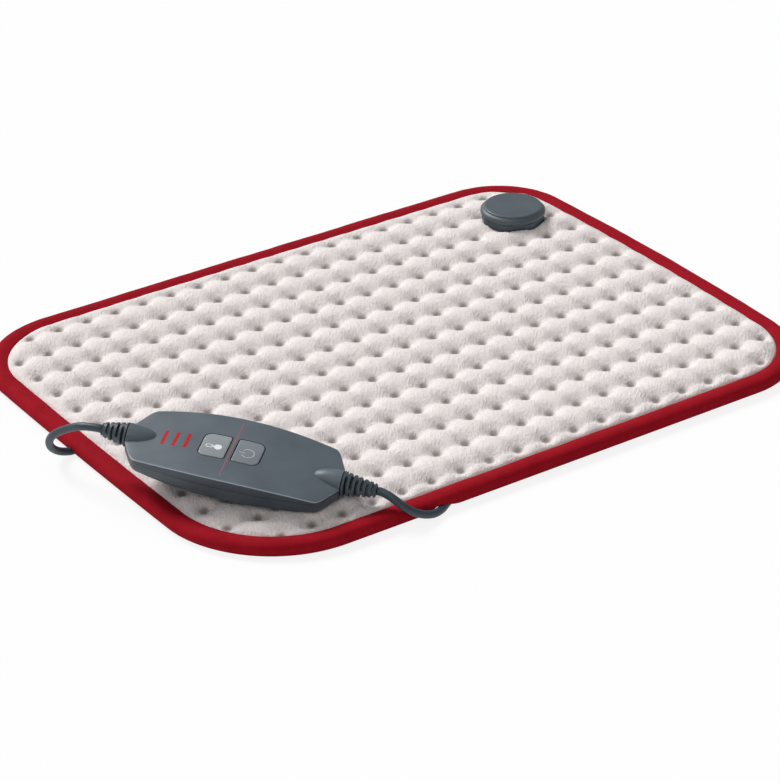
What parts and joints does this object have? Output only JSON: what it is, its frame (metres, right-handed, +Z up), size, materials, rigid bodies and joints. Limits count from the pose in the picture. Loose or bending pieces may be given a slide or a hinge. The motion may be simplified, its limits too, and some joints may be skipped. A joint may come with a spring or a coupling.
{
  "type": "heating pad with controller",
  "caption": "Quilted fleece heating pad with a bound edge, a round lead coupling and a hand controller with two buttons and light bars.",
  "frame": {"origin": "on the surface the pad lies on, under the middle of the bounding box of pad and controller, free leads and plug left out", "axes": "+X along the long side of the pad, from the end with the controller to the end with the coupling; +Y along the short side, away from the person; +Z up"},
  "size_m": [0.5539, 0.3871, 0.0439],
  "materials": {
    "fleece": "short-pile fleece",
    "wadding": "soft non-woven",
    "carrier": "woven carrier",
    "heating_cable": "insulated wire",
    "lining": "plain weave",
    "binding": "woven tape",
    "coupling_plastic": "fine grain",
    "rubber": "satin",
    "brass": "plain",
    "steel": "plain",
    "housing": "fine grain",
    "housing_lower": "fine grain",
    "button": "satin",
    "light_bar": "clear red",
    "led": "clear",
    "accent": "painted line",
    "board": "solder mask",
    "dark_plastic": "plain",
    "film_capacitor": "cast resin",
    "fuse_glass": "clear"
  },
  "bodies": {
    "pad": {"top_cover": "fleece", "upper_wadding": "wadding", "lower_wadding": "wadding", "heater_carrier": "carrier", "heating_wire": "heating_cable", "bottom_cover": "lining", "edge_binding": "binding", "coupling_base": "coupling_plastic", "coupling_cap": "coupling_plastic", "coupling_back_plate": "coupling_plastic", "coupling_grommet": "rubber", "pad_lead": "rubber", "mains_lead": "rubber", "mains_lead_coil": "rubber", "plug_lead": "rubber", "pad_lead_relief": "rubber", "mains_lead_relief": "rubber", "plug_relief": "rubber", "pad_lead_inner": "rubber", "mains_lead_inner": "rubber", "coupling_terminal_1": "brass", "coupling_terminal_2": "brass", "thermal_cutout": "steel", "case_screw_1": "steel", "case_screw_2": "steel", "case_screw_3": "steel", "case_screw_4": "steel", "plug_pin_1": "steel", "plug_pin_2": "steel", "controller_top_shell": "housing", "controller_bottom_shell": "housing_lower", "light_bar_1": "light_bar", "light_bar_2": "light_bar", "light_bar_3": "light_bar", "led_1": "led", "led_2": "led", "led_3": "led", "accent_line": "accent", "circuit_board": "board", "heat_switch": "dark_plastic", "power_switch": "dark_plastic", "triac": "dark_plastic", "control_chip": "dark_plastic", "coil_tie": "dark_plastic", "plug_body": "dark_plastic", "film_capacitor": "film_capacitor", "fuse": "fuse_glass"},
    "heat_button": {"heat_button": "button", "heat_plunger": "dark_plastic"},
    "power_button": {"power_button": "button", "power_plunger": "dark_plastic"}
  },
  "joints": [
    {"name": "heat_button_press", "type": "slide", "parent": "pad", "child": "heat_button", "axis": [0.0105, 0.1714, -0.9851], "range_m": [0, 0.0008], "stiffness_N_per_m": 700},
    {"name": "power_button_press", "type": "slide", "parent": "pad", "child": "power_button", "axis": [0.0105, 0.1714, -0.9851], "range_m": [0, 0.0008], "stiffness_N_per_m": 700}
  ]
}
